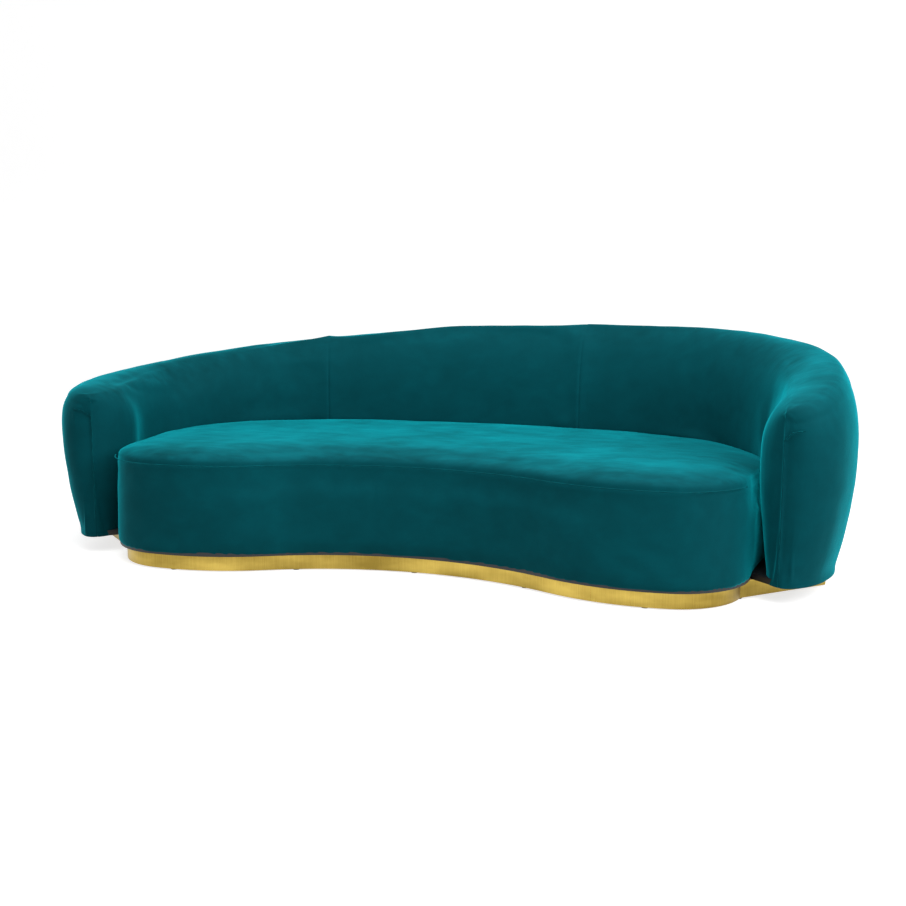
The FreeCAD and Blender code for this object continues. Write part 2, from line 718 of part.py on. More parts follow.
pad_form = feature("back_form_padding", padded_form(all_round(padding_inset), UNDER))
pad_hollow = feature("back_form_padding_inside", padded_form(core_pads(-GAP, -GAP, -GAP), UNDER))
core = feature("back_form_core", padded_form(core_pads(0, 0), UNDER))
skin_hollow = feature("back_form_skin_inside", padded_form(core_pads(SKIN_IN, SKIN_OUT), UNDER))
frame = feature("back_form_frame", padded_form(core_pads(SKIN_IN + GAP, SKIN_OUT + GAP), UNDER))
on_board = feature("above_base_ring", block(-WIDE, -WIDE, RING_TOP, WIDE, WIDE, 900))
back_pad_all = combine("Cut", "back_padding_all", pad_form, pad_hollow)
back_pad = combine("Common", "back_padding", back_pad_all, on_board)


def region(low_u, high_u, floor, height, reach=1.0):
    """Loft of upright four-sided sections along the middle line, its top set by a rule."""
    wires = []
    places = sorted({max(min(s, reach), -reach) for s in stations()})
    for place in places:
        st = Station(place)
        top = height(place, st)
        pts = [st.point(u, z) for u, z in ((low_u, floor), (high_u, floor), (high_u, top), (low_u, top))]
        wires.append(Part.makePolygon(pts + pts[:1]))
    return Part.makeLoft(wires, True, False)


def seam_rule(s, st):
    """The seam climbs the tip and runs along the outside below the crest."""
    return crest(s) - (1 - st.full) * mm("nose_drop") - 18 - 22 * min(st.full * 1.2, 1.0)


outside = feature("outside_region", region(0.0, 260.0, 10, seam_rule))


def sub_arc(edge, z, upper):
    """Part of an arc of the section above (or below) a height."""
    low, high = edge.FirstParameter, edge.LastParameter
    a, b = (low, high) if edge.valueAt(low).z < edge.valueAt(high).z else (high, low)
    below, above = a, b
    for _ in range(40):
        middle = (below + above) / 2.0
        if edge.valueAt(middle).z < z:
            below = middle
        else:
            above = middle
    keep = b if upper else a
    pts = [edge.valueAt(below), edge.valueAt((below + keep) / 2.0), edge.valueAt(keep)]
    return Part.Arc(pts[0], pts[1], pts[2]).toShape()


def cover_face(s, skin, outside_only):
    """Edges of one face of the cloth from its foot to its seam, and its two end points."""
    st = Station(s, skin=skin)
    zw = mm("widest_height")
    z1, z2, z3 = [st.crown_height(d) for d in (27, 54, 74)]
    low = (BASE + zw) / 2.0
    if outside_only:
        edges = [st.arc(1, BASE, zw, low), st.arc(1, zw, z2, z1)]
        first = st.point(st.across(1, BASE), BASE)
        last = st.point(st.across(1, z2), z2)
        return edges, first, last
    foot = sub_arc(st.arc(-1, BASE, zw, low), RING_TOP + GAP, True)
    edges = [foot, st.arc(-1, zw, z2, z1), st.arc(-1, z2, st.top, z3), st.arc(1, st.top, z2, z3)]
    return edges, foot.valueAt(foot.FirstParameter), st.point(st.across(1, z2), z2)


def cover(label, outside_only):
    """Cloth as one thin band, lofted through its sections from tip to tip."""
    wires = []
    for s in stations():
        face, face_foot, face_seam = cover_face(s, 0.0, outside_only)
        back, back_foot, back_seam = cover_face(s, CLOTH, outside_only)
        wires.append(Part.Wire(face + [line(face_seam, back_seam)]
                               + list(reversed(back)) + [line(back_foot, face_foot)]))
    return feature(label, Part.makeLoft(wires, True, False))


node(cover("outside_back_cover", True), "outside_back_cover")
inside_cloth = cover("inside_cloth", False)
LEFT, RIGHT = mm("left_seam_x"), mm("right_seam_x")
for label, x0, x1 in (("inside_cover_left", -WIDE, LEFT), ("inside_cover_centre", LEFT, RIGHT),
                      ("inside_cover_right", RIGHT, WIDE)):
    zone = feature(label + "_zone", block(x0, -WIDE, BASE, x1, WIDE, 900))
    node(combine("Common", label, inside_cloth, zone), label)


def largest(shape):
    return max(shape.Solids, key=lambda solid: solid.Volume)


doc.recompute()
node(feature("outside_padding", largest(back_pad.Shape.common(outside.Shape))), "outside_padding")
node(feature("inside_back_foam", largest(back_pad.Shape.cut(outside.Shape))), "inside_back_foam")

# Strips that close the seam at the two arm tips, between the inside and the outside cover
strips = []
for end in (-1.0, 1.0):
    st = Station(end)
    back = Vector(-st.ny, st.nx, 0) * (CLOTH * (1 if end > 0 else -1))
    strips.append(Part.Face(tip_wire(end, CLOTH + 0.15)).extrude(back))
node(feature("arm_tip_seams", Part.makeCompound(strips)), "arm_tip_seams")

# Timber inside the back: everything is taken from nested forms, so neighbours keep their clearance
REACH_END = (LENGTH - mm("nose_length") * 0.5) / LENGTH


def frame_top(s, st):
    return crest(s) - (1 - st.full) * mm("nose_drop") - TOP - 42


skin_zone = region(-300.0, 300.0, SILL_TOP, frame_top, REACH_END)
skins = core.Shape.common(skin_zone).cut(skin_hollow.Shape)
side_of = outside.Shape
node(feature("back_inner_skin", largest(skins.cut(side_of))), "back_inner_skin")
node(feature("back_outer_skin", largest(skins.common(side_of))), "back_outer_skin")

sill_zone = block(-WIDE, -WIDE, RING_TOP, WIDE, WIDE, SILL_TOP)
node(feature("back_sill", core.Shape.common(sill_zone)), "back_sill")

rail_z = mm("rail_drop")
shift = mm("crest_shift")
MID_Z = 330


def rail_section(s, low_u, high_u, z0, z1):
    st = Station(s)
    pts = [st.point(u * st.full, z) for u, z in ((low_u, z0), (high_u, z0), (high_u, z1), (low_u, z1))]
    return Part.makePolygon(pts + pts[:1])


top_rail = []
mid_rail = []
for s in [REACH_END * i / 8.0 for i in range(-8, 9)]:
    z1 = Station(s).top - rail_z
    top_rail.append(rail_section(s, shift - 20, shift + 20, z1 - mm("top_rail_height"), z1))
    mid_rail.append(rail_section(s, -4, 40, MID_Z, MID_Z + BOARD))
top_shape = Part.makeLoft(top_rail, True, False)
mid_shape = Part.makeLoft(mid_rail, True, False)
node(feature("back_top_rail", top_shape), "back_top_rail")
node(feature("back_mid_rail", mid_shape), "back_mid_rail")
rib_zone = frame.Shape.common(region(-300.0, 300.0, SILL_TOP, frame_top, REACH_END))


def rib(s):
    """Upright former between the two skins, let over the rails."""
    st = Station(s)
    along = Vector(st.ny, -st.nx, 0)
    pts = [st.point(-300, SILL_TOP), st.point(300, SILL_TOP), st.point(300, 900), st.point(-300, 900)]
    face = Part.Face(Part.makePolygon(pts + pts[:1]))
    face.translate(along * (-BOARD / 2))
    slab = face.extrude(along * BOARD)
    return rib_zone.common(slab).cut(top_shape).cut(mid_shape)


def ribs(label, places):
    parts = []
    for s in places:
        parts += rib(s).Solids
    return node(feature(label, Part.makeCompound(solids_of(Part.makeCompound(parts)))), label)


ribs("back_ribs", [-0.5, -0.3, -0.1, 0.1, 0.3, 0.5])
ribs("arm_ribs_left", [-0.9, -0.78, -0.65])
ribs("arm_ribs_right", [0.65, 0.78, 0.9])

# Screws from below through base ring into the sill
sill_screw = turned("sill_screw", [(0, BASE), (4.5, BASE), (2.5, BASE + 3), (2.5, SILL_TOP - 3),
                                   (0, SILL_TOP - 1)])
screw_places = []
for s in (-0.86, -0.71, -0.54, -0.34, -0.14, 0.14, 0.34, 0.54, 0.71, 0.86):
    st = Station(s)
    screw_places.append(st.point(20, 0))
copies("sill_screws", sill_screw, [(p, 0) for p in screw_places])
holes = feature("sill_screw_holes", Part.makeCompound(
    [sill_screw.Shape.translated(p) for p in screw_places]))
sill_node = [n for n in NODES if n.Label == "back_sill"][0]
NODES.remove(sill_node)
sill_node.Label = "sill_blank"
node(combine("Cut", "sill_drilled", sill_node, holes), "back_sill")
ring_a = combine("Cut", "base_ring_bored", base_ring, bores)
node(combine("Cut", "base_ring_drilled", ring_a, holes), "base_ring")

# Dust cover under the seat, inside the plinth, with its staples
dust_flat = Part.Face(plan_wire(INSIDE_WALL + 2, BASE - 0.8))
dust = dust_flat.extrude(Vector(0, 0, 0.8))
node(feature("dust_cover", dust), "dust_cover")
staples = []
dust_line = plan_wire(INSIDE_WALL + 14, 0)
for i in range(-9, 9):
    x = i * 100 + 50
    for y in crossing(dust_line, x):
        crown = block(x - 5, y - 0.5, BASE - 1.5, x + 5, y + 0.5, BASE - 0.8)
        staples.append(crown)
node(feature("dust_cover_staples", Part.makeCompound(staples)), "dust_cover_staples")

doc.recompute()
for obj in doc.Objects:
    bad = [flag for flag in obj.State if flag in ("Invalid", "Error")]
    if bad:
        raise RuntimeError("%s does not compute: %s" % (obj.Label, bad))
for obj in NODES:
    if obj.Shape.isNull() or not obj.Shape.isValid() or not obj.Shape.Solids:
        raise RuntimeError("%s has no valid solid" % obj.Label)

os.makedirs("parts", exist_ok=True)
for obj in NODES:
    obj.Shape.exportStep("parts/%s.step" % obj.Label)
    print("%-26s solids %3d  volume %10.1f cm3" % (
        obj.Label, len(obj.Shape.Solids), obj.Shape.Volume / 1000.0))
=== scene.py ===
import json
import math

import bmesh
import bpy
from bpy.props import FloatProperty, FloatVectorProperty, PointerProperty
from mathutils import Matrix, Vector, noise


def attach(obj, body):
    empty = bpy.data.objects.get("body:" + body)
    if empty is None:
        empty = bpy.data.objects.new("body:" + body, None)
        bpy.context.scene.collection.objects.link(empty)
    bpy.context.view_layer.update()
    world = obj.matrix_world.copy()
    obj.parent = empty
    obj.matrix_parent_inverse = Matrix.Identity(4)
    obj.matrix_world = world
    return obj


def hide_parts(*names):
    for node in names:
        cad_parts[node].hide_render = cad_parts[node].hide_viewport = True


bl_info = {
    "name": "Curved sofa",
    "version": (1, 0, 0),
    "blender": (4, 5, 0),
    "location": "View3D > Sidebar > Curved sofa",
    "description": "Builds the looks of a kidney-shaped velvet sofa on a metal plinth",
    "category": "Add Mesh",
}

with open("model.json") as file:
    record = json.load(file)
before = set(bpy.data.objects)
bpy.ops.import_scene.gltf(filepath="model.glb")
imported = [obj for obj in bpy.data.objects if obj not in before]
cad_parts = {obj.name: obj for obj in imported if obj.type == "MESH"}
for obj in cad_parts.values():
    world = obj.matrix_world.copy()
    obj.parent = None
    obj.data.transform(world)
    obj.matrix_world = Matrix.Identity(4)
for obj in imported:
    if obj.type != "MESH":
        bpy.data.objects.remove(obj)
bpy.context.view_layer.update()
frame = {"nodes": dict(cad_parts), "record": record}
NODES = frame["nodes"]

# The middle line of back and arms is a superellipse behind the bend and an ellipse in front of it.
HALF_DEPTH = 0.628
BEND_Y, ARM_DEPTH, SQUARE, NOSE_Y = 0.4475, 0.722, 2.13, 0.160
CRESTS = (0.561, 0.605, 0.668, 0.714, 0.746, 0.757, 0.755, 0.707, 0.592)
BASE, WIDEST, SHOULDER = 0.055, 0.420, 0.347
NOSE, NOSE_DROP, ROUND = 0.160, 0.030, 2.3
LOBE_X, LOBE_R, BAY, CORNER_R, TURN = 0.759, 0.670, 0.183, 0.242, 0.070
HALF_LENGTH = 1.339
# half thicknesses at the widest height, and how far each face draws in towards the foot
INNER_BACK, ARM_EXTRA, HALF_OUTER = 0.085, 0.065, 0.114
INNER_TAPER, OUTER_TAPER, CREST_SHIFT = 0.051, 0.055, 0.020
EDGE_ROUND, SEAT_GAP, SEAT_REACH = 0.028, 0.0006, 0.82
# the upright seams of the inside back, in metres along the length
SEAMS = (-0.605, 0.368)


def srgb(text):
    """Linear colour of a hex value."""
    values = [int(text[i:i + 2], 16) / 255.0 for i in (1, 3, 5)]
    return [v / 12.92 if v <= 0.04045 else ((v + 0.055) / 1.055) ** 2.4 for v in values] + [1.0]


# ---- materials

class Graph:
    """A material's node tree, with one way of adding a node."""

    def __init__(self, name):
        self.material = bpy.data.materials.new(name)
        self.material.use_nodes = True
        self.tree = self.material.node_tree
        self.shader = self.tree.nodes["Principled BSDF"]
        self.output = self.tree.nodes["Material Output"]

    def add(self, kind, settings=None, **links):
        node = self.tree.nodes.new(kind)
        for key, value in (settings or {}).items():
            if key in node.inputs:
                node.inputs[key].default_value = value
            else:
                setattr(node, key, value)
        for key, source in links.items():
            target = node.inputs[int(key[1:])] if key[0] == "i" and key[1:].isdigit() else node.inputs[key]
            self.tree.links.new(source, target)
        return node

    def ramp(self, source, stops):
        node = self.add("ShaderNodeValToRGB", i0=source)
        elements = node.color_ramp.elements
        while len(elements) < len(stops):
            elements.new(0.5)
        for element, (place, colour) in zip(elements, stops):
            element.position = place
            element.color = colour
        return node.outputs["Color"]

    def noise(self, vector, scale, detail=3.0, roughness=0.5, distortion=0.0):
        return self.add("ShaderNodeTexNoise", {"Scale": scale, "Detail": detail, "Roughness": roughness,
                                               "Distortion": distortion}, Vector=vector).outputs["Fac"]

    def maths(self, operation, a, b):
        node = self.add("ShaderNodeMath", {"operation": operation})
        for socket, value in zip(node.inputs, (a, b)):
            if isinstance(value, (int, float)):
                socket.default_value = value
            else:
                self.tree.links.new(value, socket)
        return node.outputs[0]

    def bump(self, height, strength, distance, normal=None):
        links = {"Height": height}
        if normal is not None:
            links["Normal"] = normal
        settings = {"Strength": strength, "Distance": distance}
        return self.add("ShaderNodeBump", settings, **links).outputs["Normal"]

    def put(self, socket, source):
        self.tree.links.new(source, self.shader.inputs[socket])

    def coords(self, scale=(1, 1, 1)):
        where = self.add("ShaderNodeTexCoord").outputs["Object"]
        return self.add("ShaderNodeMapping", {"Scale": scale}, Vector=where).outputs["Vector"]


def velvet(name, deep, mid, light, sheen):
    """Short-pile velvet: dark seen straight on, bright where the pile is seen from the side."""
    g = Graph(name)
    where = g.coords()
    # broad patches where a hand has turned the pile, 15-40 cm across
    patch = g.noise(where, 3.4, 3.0, 0.55, 0.5)
    # strokes of the nap, stretched along the length, 2-6 cm
    strokes = g.noise(g.coords((9.0, 22.0, 14.0)), 1.5, 3.0, 0.55, 0.3)
    # the pile itself, under 1 mm
    pile = g.noise(where, 900.0, 2.0, 0.6)
    turned = g.maths("ADD", g.maths("MULTIPLY", patch, 0.6), g.maths("MULTIPLY", strokes, 0.4))
    # the pile of upright faces lies evenly; that of level faces is ruffled by use
    upward = g.add("ShaderNodeSeparateXYZ", Vector=g.add("ShaderNodeNewGeometry").outputs["Normal"])
    level = g.ramp(upward.outputs["Z"], [(0.35, (0.28,) * 3 + (1,)), (0.85, (1.0,) * 3 + (1,))])
    turned = g.maths("ADD", 0.5, g.maths("MULTIPLY", g.maths("SUBTRACT", turned, 0.5), level))
    colour = g.ramp(turned, [(0.36, srgb(deep)), (0.5, srgb(mid)), (0.64, srgb(light))])
    speck = g.ramp(pile, [(0.25, (0.86, 0.86, 0.86, 1)), (0.75, (1.1, 1.1, 1.1, 1))])
    mixed = g.add("ShaderNodeMix", {"data_type": "RGBA", "blend_type": "MULTIPLY"})
    mixed.inputs[0].default_value = 1.0
    g.tree.links.new(colour, mixed.inputs[6])
    g.tree.links.new(speck, mixed.inputs[7])
    g.put("Base Color", mixed.outputs[2])
    g.put("Roughness", g.ramp(turned, [(0.3, (0.85,) * 3 + (1,)), (0.7, (0.7,) * 3 + (1,))]))
    facing = g.add("ShaderNodeLayerWeight", {"Blend": 0.5}).outputs["Facing"]
    rim = g.ramp(facing, [(0.15, (0.10,) * 3 + (1,)), (0.55, (0.45,) * 3 + (1,)),
                          (0.85, (1.0,) * 3 + (1,))])
    ruffle = g.ramp(turned, [(0.36, (0.72,) * 3 + (1,)), (0.62, (1.0,) * 3 + (1,))])
    g.put("Sheen Weight", g.maths("MULTIPLY", rim, ruffle))
    fine = g.bump(pile, 0.3, 0.0005)
    g.put("Normal", g.bump(g.noise(where, 46.0, 3.0, 0.6), 0.12, 0.003, fine))
    shader = g.shader.inputs
    shader["Sheen Roughness"].default_value = 0.42
    shader["Sheen Tint"].default_value = srgb(sheen)
    shader["Specular IOR Level"].default_value = 0.04
    return g.material


def brushed_gold(name, dark, light):
    """Gold-tone plated steel: fine upright brush lines, satin reflection."""
    g = Graph(name)
    lines = g.noise(g.coords((420.0, 420.0, 9.0)), 1.0, 3.0, 0.6)
    cloud = g.noise(g.coords((2.0, 2.0, 6.0)), 2.2, 3.0, 0.5)
    mix = g.maths("ADD", g.maths("MULTIPLY", lines, 0.22), g.maths("MULTIPLY", cloud, 0.78))
    g.put("Base Color", g.ramp(mix, [(0.36, srgb(dark)), (0.64, srgb(light))]))
    g.put("Roughness", g.ramp(lines, [(0.3, (0.26,) * 3 + (1,)), (0.7, (0.42,) * 3 + (1,))]))
    g.put("Normal", g.bump(lines, 0.06, 0.0002))
    g.shader.inputs["Metallic"].default_value = 1.0
    g.shader.inputs["Anisotropic"].default_value = 0.35
    return g.material


def ply(name, face, edge):
    """Sanded plywood: long soft grain on the faces."""
    g = Graph(name)
    grain = g.noise(g.coords((3.0, 34.0, 90.0)), 1.4, 5.0, 0.6, 1.2)
    fibre = g.noise(g.coords((60.0, 500.0, 500.0)), 1.0, 2.0, 0.6)
    both = g.maths("ADD", g.maths("MULTIPLY", grain, 0.75), g.maths("MULTIPLY", fibre, 0.25))
    g.put("Base Color", g.ramp(both, [(0.35, srgb(edge)), (0.62, srgb(face))]))
    g.put("Roughness", g.ramp(fibre, [(0.2, (0.55,) * 3 + (1,)), (0.8, (0.75,) * 3 + (1,))]))
    g.put("Normal", g.bump(both, 0.25, 0.0006))
    return g.material


def steel(name, dark, light, rough):
    """Zinc-plated or drawn steel: faint cloudy tone and fine scratches."""
    g = Graph(name)
    cloud = g.noise(g.coords(), 60.0, 4.0, 0.6)
    g.put("Base Color", g.ramp(cloud, [(0.3, srgb(dark)), (0.7, srgb(light))]))
    g.put("Roughness", g.ramp(cloud, [(0.3, (rough,) * 3 + (1,)), (0.7, (rough + 0.15,) * 3 + (1,))]))
    g.put("Normal", g.bump(g.noise(g.coords((900, 60, 900)), 1.0), 0.1, 0.0002))
    g.shader.inputs["Metallic"].default_value = 1.0
    return g.material


def fibres(name, dark, light, size):
    """Felt, spun-bonded cloth or foam: a dull tangle of fibres or cells of the given size in metres."""
    g = Graph(name)
    tangle = g.noise(g.coords(), 1.0 / size, 5.0, 0.7, 0.8)
    g.put("Base Color", g.ramp(tangle, [(0.3, srgb(dark)), (0.7, srgb(light))]))
    g.put("Roughness", g.ramp(tangle, [(0.2, (0.85,) * 3 + (1,)), (0.8, (0.98,) * 3 + (1,))]))
    g.put("Normal", g.bump(tangle, 0.5, size * 0.4))
    g.shader.inputs["Specular IOR Level"].default_value = 0.2
    return g.material


def nylon(name, dark, light):
    """Moulded nylon: matt, with a fine spark-eroded texture."""
    g = Graph(name)
    grain = g.noise(g.coords(), 1400.0, 3.0, 0.6)
    g.put("Base Color", g.ramp(grain, [(0.3, srgb(dark)), (0.7, srgb(light))]))
    g.put("Roughness", g.ramp(grain, [(0.3, (0.42,) * 3 + (1,)), (0.7, (0.6,) * 3 + (1,))]))
    g.put("Normal", g.bump(grain, 0.2, 0.0002))
    return g.material


MATERIALS = {}


def make_materials():
    """One material for each slot of the record."""
    deep, mid, light, sheen = "#003338", "#003F46", "#004C54", "#12C4D2"
    MATERIALS.update({
        "teal_velvet": velvet("Teal velvet, short pile", deep, mid, light, sheen),
        # painted shade: the cord is the same velvet as the body, with its colours a step darker so the
        # seams read as dark lines where their shade falls
        "seam_cord": velvet("Teal velvet, seam cord", "#002A2E", "#00343A", "#004047", sheen),
        "brushed_gold_metal": brushed_gold("Steel, brushed gold tone", "#86702F", "#BFA450"),
        "plywood": ply("Birch plywood, sanded", "#C9A679", "#A97F52"),
        # painted shade: the base ring's plywood is coloured near black so that its edge, seen in the gap
        # between seat and arms, reads as the shade of that gap; black paint on the real ring is a guess
        "black_painted_plywood": nylon("Plywood, black paint and painted shade", "#0C0C0D", "#161618"),
        "beech": ply("Beech, planed", "#BE8F62", "#9A6C43"),
        "bending_board": ply("Bending plywood, raw", "#A98560", "#83623F"),
        "black_nylon": nylon("Nylon, moulded black", "#101012", "#1D1D20"),
        "zinc_steel": steel("Steel, zinc plated", "#8F9498", "#C4C8CC", 0.3),
        "spring_steel": steel("Steel, drawn and oiled", "#2E3034", "#54575C", 0.35),
        "black_nonwoven": fibres("Spun-bonded cloth, black", "#0B0B0D", "#1E1E21", 0.0016),
        "grey_felt": fibres("Needled felt, grey", "#4E4C4A", "#7A7775", 0.0022),
        "foam": fibres("Polyurethane foam", "#CDBE86", "#E6DBAE", 0.0012),
        "polyester_wadding": fibres("Polyester wadding, white", "#D9D9D5", "#F2F2EF", 0.004),
    })


# ---- shape of the upholstery

def middle_line():
    """Right half of the middle line in plan, from the middle of the back to the tip, and its lengths."""
    a = HALF_LENGTH - HALF_OUTER
    b = 2 * HALF_DEPTH - HALF_OUTER - BEND_Y
    points = []
    for i in range(361):
        angle = math.pi / 2 * (1 - i / 360)
        c, s = max(math.cos(angle), 0.0), max(math.sin(angle), 0.0)
        points.append((a * c ** (2 / SQUARE), BEND_Y + b * s ** (2 / SQUARE)))
    for i in range(1, 91):
        y = BEND_Y - (BEND_Y - NOSE_Y) * i / 90
        points.append((a * math.sqrt(1 - ((BEND_Y - y) / ARM_DEPTH) ** 2), y))
    reach = [0.0]
    for p, q in zip(points, points[1:]):
        reach.append(reach[-1] + math.hypot(q[0] - p[0], q[1] - p[1]))
    return points, reach


LINE, REACH = middle_line()
LENGTH = REACH[-1]


def on_line(s):
    """Point and outward normal of the middle line at s = -1 (left tip) .. 1 (right tip)."""
    distance = min(abs(s) * LENGTH, LENGTH)
    low, high = 0, len(REACH) - 1
    while high - low > 1:
        mid = (low + high) // 2
        low, high = (mid, high) if REACH[mid] <= distance else (low, mid)
    f = (distance - REACH[low]) / (REACH[high] - REACH[low])
    x = LINE[low][0] + f * (LINE[high][0] - LINE[low][0])
    y = LINE[low][1] + f * (LINE[high][1] - LINE[low][1])
    i0, i1 = max(low - 4, 0), min(high + 4, len(LINE) - 1)
    tx, ty = LINE[i1][0] - LINE[i0][0], LINE[i1][1] - LINE[i0][1]
    ty *= min(distance / 0.08, 1.0)
    n = math.hypot(tx, ty)
    nx, ny = -ty / n, tx / n
    return (x, y, nx, ny) if s >= 0 else (-x, y, -nx, ny)


def crest(s):
    """Crest height, a smooth curve through nine heights from tip to tip."""
    place = (s + 1) * 4
    i = min(int(place), 7)
    u = place - i
    slope = [CRESTS[min(j + 1, 8)] - CRESTS[max(j - 1, 0)] for j in (i, i + 1)]
    slope = [v if j in (0, 8) else v / 2 for j, v in zip((i, i + 1), slope)]
    return ((2 * u ** 3 - 3 * u ** 2 + 1) * CRESTS[i] + (u ** 3 - 2 * u ** 2 + u) * slope[0]
            + (3 * u ** 2 - 2 * u ** 3) * CRESTS[i + 1] + (u ** 3 - u ** 2) * slope[1])


def blend(t):
    t = min(max(t, 0.0), 1.0)
    return t * t * (3 - 2 * t)


def fullness(s):
    """1 along the back, falling to 0 where an arm closes at its tip."""
    u = max((abs(s) * LENGTH - (LENGTH - NOSE)) / NOSE, 0.0)
    return max(1 - min(u, 1.0) ** 2.2, 0.0) ** (1 / 2.2)


def section(s, v):
    """Point of the back's surface; v runs 0..1 from the inner foot over the crest to the outer foot."""
    x, y, nx, ny = on_line(s)
    full = fullness(s)
    inner = INNER_BACK + blend((abs(s) - 0.45) / 0.35) * ARM_EXTRA
    top = crest(s) - (1 - full) * NOSE_DROP
    side = -1 if v < 0.5 else 1
    w, taper = (inner, INNER_TAPER) if side < 0 else (HALF_OUTER, OUTER_TAPER)
    t = v * 2 if v < 0.5 else 2 - v * 2
    if t < 0.5:
        a = t / 0.5
        z = BASE + (WIDEST - BASE) * a
        u = w - taper + taper * math.sin(a * math.pi / 2) ** 0.9
    else:
        angle = (t - 0.5) / 0.5 * math.pi / 2
        z = WIDEST + (top - WIDEST) * math.sin(angle) ** (2 / ROUND)
        shift = CREST_SHIFT * side
        u = shift + (w - shift) * max(math.cos(angle), 0.0) ** (2 / ROUND)
    u *= side * full
    return Vector((x + u * nx, y + u * ny - HALF_DEPTH, z))


def front_line(inset, step):
    """Front of the seat from the left corner's side to the right corner's side."""
    r1 = (LOBE_X ** 2 + BAY ** 2) / (2 * BAY) - LOBE_R
    c1, c2 = (0.0, BAY - r1), (LOBE_X, LOBE_R)
    a1 = math.atan2(c2[1] - c1[1], c2[0] - c1[0])
    a3 = -math.pi / 2 + math.asin(TURN / LOBE_R)
    c3 = (c2[0] + (LOBE_R - CORNER_R) * math.cos(a3), c2[1] + (LOBE_R - CORNER_R) * math.sin(a3))
    half = []
    for c, r, b0, b1 in ((c1, r1 + inset, math.pi / 2, a1), (c2, LOBE_R - inset, a1 - math.pi, a3),
                         (c3, CORNER_R - inset, a3, 0.0)):
        count = max(int(abs(b1 - b0) * r / step), 4)
        half += [(c[0] + r * math.cos(b0 + (b1 - b0) * i / count),
                  c[1] + r * math.sin(b0 + (b1 - b0) * i / count)) for i in range(count)]
    half.append((c3[0] + CORNER_R - inset, c3[1]))
    return [(-x, y) for x, y in reversed(half[1:])] + half


def seat_line(inset, step=0.012):
    """Closed outline of the seat: its front, then along the back's seat side."""
    points = front_line(inset, step)
    count = int(2 * SEAT_REACH * LENGTH / step)
    a = (SHOULDER - BASE) / (WIDEST - BASE)
    for i in range(count + 1):
        s = SEAT_REACH - 2 * SEAT_REACH * i / count
        x, y, nx, ny = on_line(s)
        w = INNER_BACK + blend((abs(s) - 0.45) / 0.35) * ARM_EXTRA
        w = w - INNER_TAPER + INNER_TAPER * math.sin(a * math.pi / 2) ** 0.9 + inset + SEAT_GAP
        points.append((x - w * nx, y - w * ny))
    return [Vector((x, y - HALF_DEPTH, 0.0)) for x, y in points]


# ---- helpers

def mesh_object(name, verts, faces, smooth=True):
    mesh = bpy.data.meshes.new(name)
    mesh.from_pydata([tuple(v) for v in verts], [], faces)
    mesh.update()
    obj = bpy.data.objects.new(name, mesh)
    bpy.context.scene.collection.objects.link(obj)
    if smooth:
        mesh.shade_smooth()
    return obj


def finish_piece(obj, material, nodes):
    obj.data.materials.clear()
    obj.data.materials.append(MATERIALS[material])
    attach(obj, "root")
    if nodes:
        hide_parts(*nodes)
    return obj


def only(obj):
    bpy.ops.object.select_all(action="DESELECT")
    obj.select_set(True)
    bpy.context.view_layer.objects.active = obj


def settle_cloth(obj, pinned, pressure, cap, frames=12):
    """Let the cover swell as sewn cloth over its filling, then keep the result with its travel capped."""
    start = [v.co.copy() for v in obj.data.vertices]
    group = obj.vertex_groups.new(name="sewn")
    group.add(pinned, 1.0, "REPLACE")
    only(obj)
    cloth = obj.modifiers.new("Cloth", "CLOTH")
    setting = cloth.settings
    setting.quality = 3
    setting.mass = 0.3
    setting.tension_stiffness = 12
    setting.compression_stiffness = 8
    setting.bending_stiffness = 1.5
    setting.vertex_group_mass = "sewn"
    setting.use_pressure = True
    setting.uniform_pressure_force = pressure
    setting.effector_weights.gravity = 0.0
    scene = bpy.context.scene
    scene.frame_start, scene.frame_end = 1, frames
    cloth.point_cache.frame_start, cloth.point_cache.frame_end = 1, frames
    for number in range(1, frames + 1):
        scene.frame_set(number)
    graph = bpy.context.evaluated_depsgraph_get()
    moved = [v.co.copy() for v in obj.evaluated_get(graph).data.vertices]
    obj.modifiers.remove(cloth)
    scene.frame_set(1)
    for vertex, old, new in zip(obj.data.vertices, start, moved):
        step = new - old
        if step.length > cap:
            step *= cap / step.length
        vertex.co = old + step
    obj.data.update()


def relax(obj, factor, repeat):
    """Even out the steps that a voxel remesh leaves."""
    bm = bmesh.new()
    bm.from_mesh(obj.data)
    for _ in range(repeat):
        bmesh.ops.smooth_vert(bm, verts=bm.verts, factor=factor, use_axis_x=True, use_axis_y=True,
                              use_axis_z=True)
    bm.to_mesh(obj.data)
    bm.free()


# ---- settings a user would change

class SofaVelvet(bpy.types.PropertyGroup):
    swell: FloatProperty(name="Swell", description="How far the cloth may swell", default=0.006,
                         min=0.0, max=0.02, unit="LENGTH")
    seam_depth: FloatProperty(name="Seam depth", description="How deep the seams pull in", default=0.004,
                              min=0.0, max=0.01, unit="LENGTH")


class SofaStage(bpy.types.PropertyGroup):
    floor_colour: FloatVectorProperty(name="Floor colour", description="Colour of the plain floor",
                                      subtype="COLOR", size=3, default=(0.55, 0.55, 0.55), min=0, max=1)
    sweep_light: FloatProperty(name="Sweep light", description="Extra light on the backdrop", default=0.72,
                               min=0.0, max=2.0)
    key_strength: FloatProperty(name="Key light", description="Power of the main soft light", default=150.0,
                                min=0.0, unit="POWER")


# ---- pieces

SECTION_ROWS = 72


def wave(point, size, seed):
    """Smooth unevenness of the filling, -1..1, over patches of the given size in metres."""
    return noise.noise(Vector((point.x / size + seed, point.y / size, point.z / size)))


